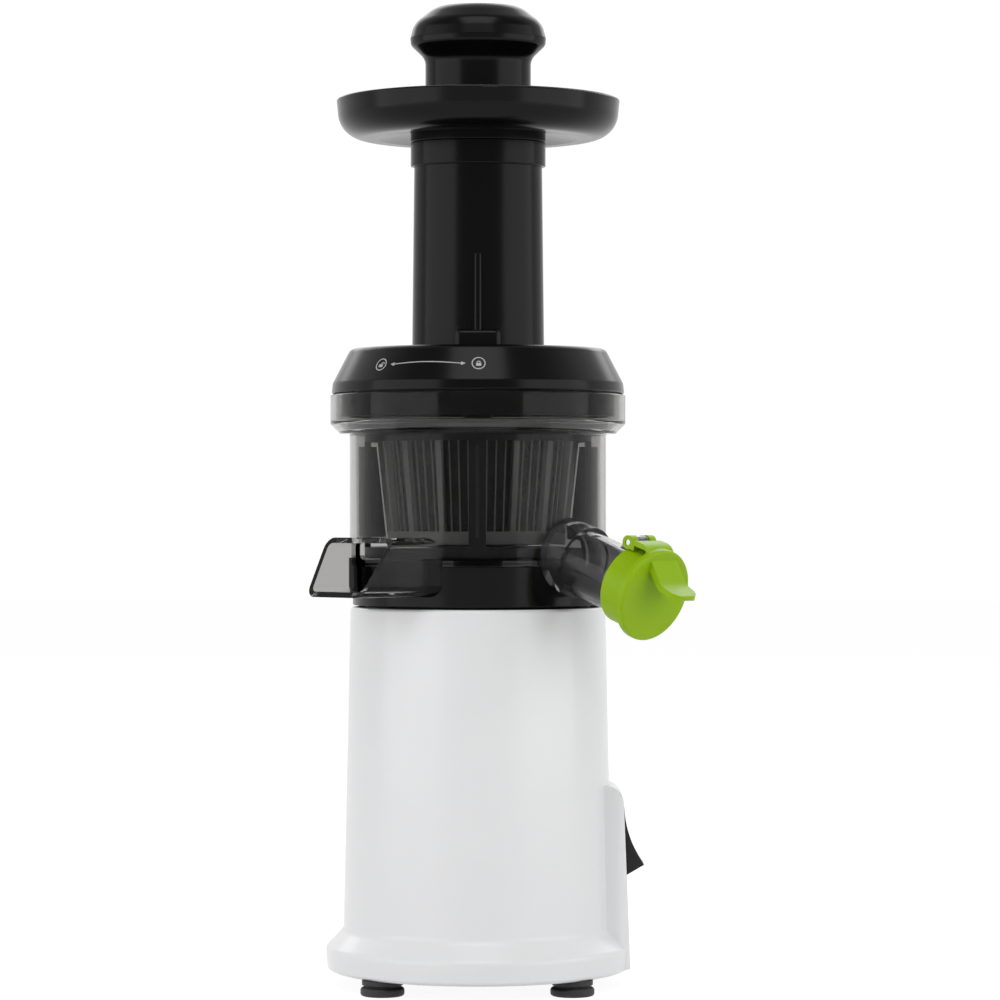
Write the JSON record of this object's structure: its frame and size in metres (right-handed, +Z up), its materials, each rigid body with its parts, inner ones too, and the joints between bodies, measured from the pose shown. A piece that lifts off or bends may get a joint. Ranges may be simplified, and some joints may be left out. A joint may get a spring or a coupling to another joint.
{
  "type": "vertical slow juicer",
  "caption": "Upright countertop cold-press juicer: white motor base, smoked bowl with capped juice spout and pulp chute, twist-lock black lid, oval feed chute, tray and pusher.",
  "frame": {"origin": "on the table plane under the auger's axis, midway between the four feet", "axes": "+Z up along the auger's axis, front of the juicer towards -Y, switch on the +X side"},
  "size_m": [0.1552, 0.1574, 0.4107],
  "materials": {
    "white_gloss": "pearl white gloss",
    "black_gloss": "black gloss",
    "black_matte": "black satin",
    "smoked_clear": "clear smoked plastic",
    "smoked_dark": "dark smoked plastic",
    "grey_moulding": "grey satin",
    "green_gloss": "leaf green gloss",
    "black_rubber": "moulded rubber",
    "grey_silicone": "soft silicone",
    "cast_alloy": "die cast",
    "lamination_iron": "laminated",
    "bronze": "sintered",
    "acetal": "acetal",
    "board_green": "circuit board",
    "steel": "turned"
  },
  "bodies": {
    "base": {"motor_housing": "white_gloss", "cord_gland": "black_rubber", "top_deck": "black_matte", "deck_seal": "black_rubber", "base_plate": "black_matte", "base_screws": "steel", "rubber_feet": "black_rubber", "switch_frame": "black_matte", "switch_body": "black_matte", "rocker_pin": "steel", "motor_can": "steel", "motor_lower_bell": "cast_alloy", "motor_bearings": "steel", "motor_stator": "lamination_iron", "motor_mounts": "black_rubber", "layshaft_bushes": "bronze", "drive_bearing": "bronze", "gearbox_case": "cast_alloy", "gearbox_cover": "cast_alloy", "gearbox_screws": "steel", "control_board": "board_green", "interlock_switch": "black_matte"},
    "rocker": {"switch_rocker": "black_matte"},
    "rotor": {"rotor_shaft": "steel", "rotor_core": "lamination_iron", "cooling_fan": "black_matte", "motor_pinion": "steel"},
    "layshaft": {"layshaft": "steel", "lay_gear": "acetal", "lay_pinion": "steel"},
    "drive": {"drive_shaft": "steel", "output_gear": "acetal"},
    "bowl": {"bowl": "smoked_clear", "juice_spout": "smoked_dark", "bowl_base": "black_gloss", "bowl_seal": "grey_silicone", "idler_pin": "steel", "strainer_frame": "grey_moulding", "strainer_screen": "smoked_dark", "cap_pin": "steel"},
    "auger": {"auger": "black_matte", "auger_gear": "acetal", "auger_pin": "steel"},
    "idler": {"brush_idler": "acetal"},
    "brush": {"brush_frame": "black_matte", "brush_blades": "grey_silicone"},
    "cap": {"juice_cap": "green_gloss"},
    "lid": {"lid": "black_gloss", "auger_bush": "acetal", "lid_seal": "grey_silicone", "lid_magnet": "steel", "feed_chute": "black_gloss"},
    "tray": {"feed_tray": "black_gloss"},
    "pusher": {"pusher_body": "black_gloss", "pusher_cap": "black_gloss"}
  },
  "joints": [
    {"name": "rotor_spin", "type": "hinge", "parent": "base", "child": "rotor", "pos_m": [0, 0, 0.05], "axis": [0, 0, 1], "continuous": true},
    {"name": "layshaft_spin", "type": "hinge", "parent": "base", "child": "layshaft", "pos_m": [0.0231, 0, 0.1], "axis": [0, 0, 1], "continuous": true},
    {"name": "drive_spin", "type": "hinge", "parent": "base", "child": "drive", "pos_m": [0, 0, 0.15], "axis": [0, 0, 1], "continuous": true},
    {"name": "rocker_tilt", "type": "hinge", "parent": "base", "child": "rocker", "pos_m": [0.05615, 0, 0.0595], "axis": [0, 1, 0], "range_deg": [0, 20]},
    {"name": "bowl_lift", "type": "slide", "parent": "base", "child": "bowl", "axis": [0, 0, 1], "range_m": [0, 0.06]},
    {"name": "auger_spin", "type": "hinge", "parent": "bowl", "child": "auger", "pos_m": [0, 0, 0.2], "axis": [0, 0, 1], "continuous": true},
    {"name": "idler_spin", "type": "hinge", "parent": "bowl", "child": "idler", "pos_m": [0.0225, 0, 0.18], "axis": [0, 0, 1], "continuous": true},
    {"name": "brush_spin", "type": "hinge", "parent": "bowl", "child": "brush", "pos_m": [0, 0, 0.2], "axis": [0, 0, 1], "continuous": true},
    {"name": "cap_swing", "type": "hinge", "parent": "bowl", "child": "cap", "pos_m": [0.06506, -0.06506, 0.18513], "axis": [-0.7071, -0.7071, 0], "range_deg": [0, 105]},
    {"name": "lid_twist", "type": "hinge", "parent": "bowl", "child": "lid", "pos_m": [0, 0, 0.25], "axis": [0, 0, 1], "range_deg": [0, 43]},
    {"name": "tray_lift", "type": "slide", "parent": "lid", "child": "tray", "axis": [0, 0, 1], "range_m": [0, 0.03]},
    {"name": "pusher_slide", "type": "slide", "parent": "tray", "child": "pusher", "axis": [0, 0, 1], "range_m": [0, 0.13]}
  ],
  "couplings": [
    {"joint": "layshaft_spin", "follows": "rotor_spin", "ratio": -0.22222},
    {"joint": "drive_spin", "follows": "rotor_spin", "ratio": 0.049383},
    {"joint": "auger_spin", "follows": "rotor_spin", "ratio": 0.049383},
    {"joint": "idler_spin", "follows": "rotor_spin", "ratio": -0.061728},
    {"joint": "brush_spin", "follows": "rotor_spin", "ratio": -0.018993}
  ]
}
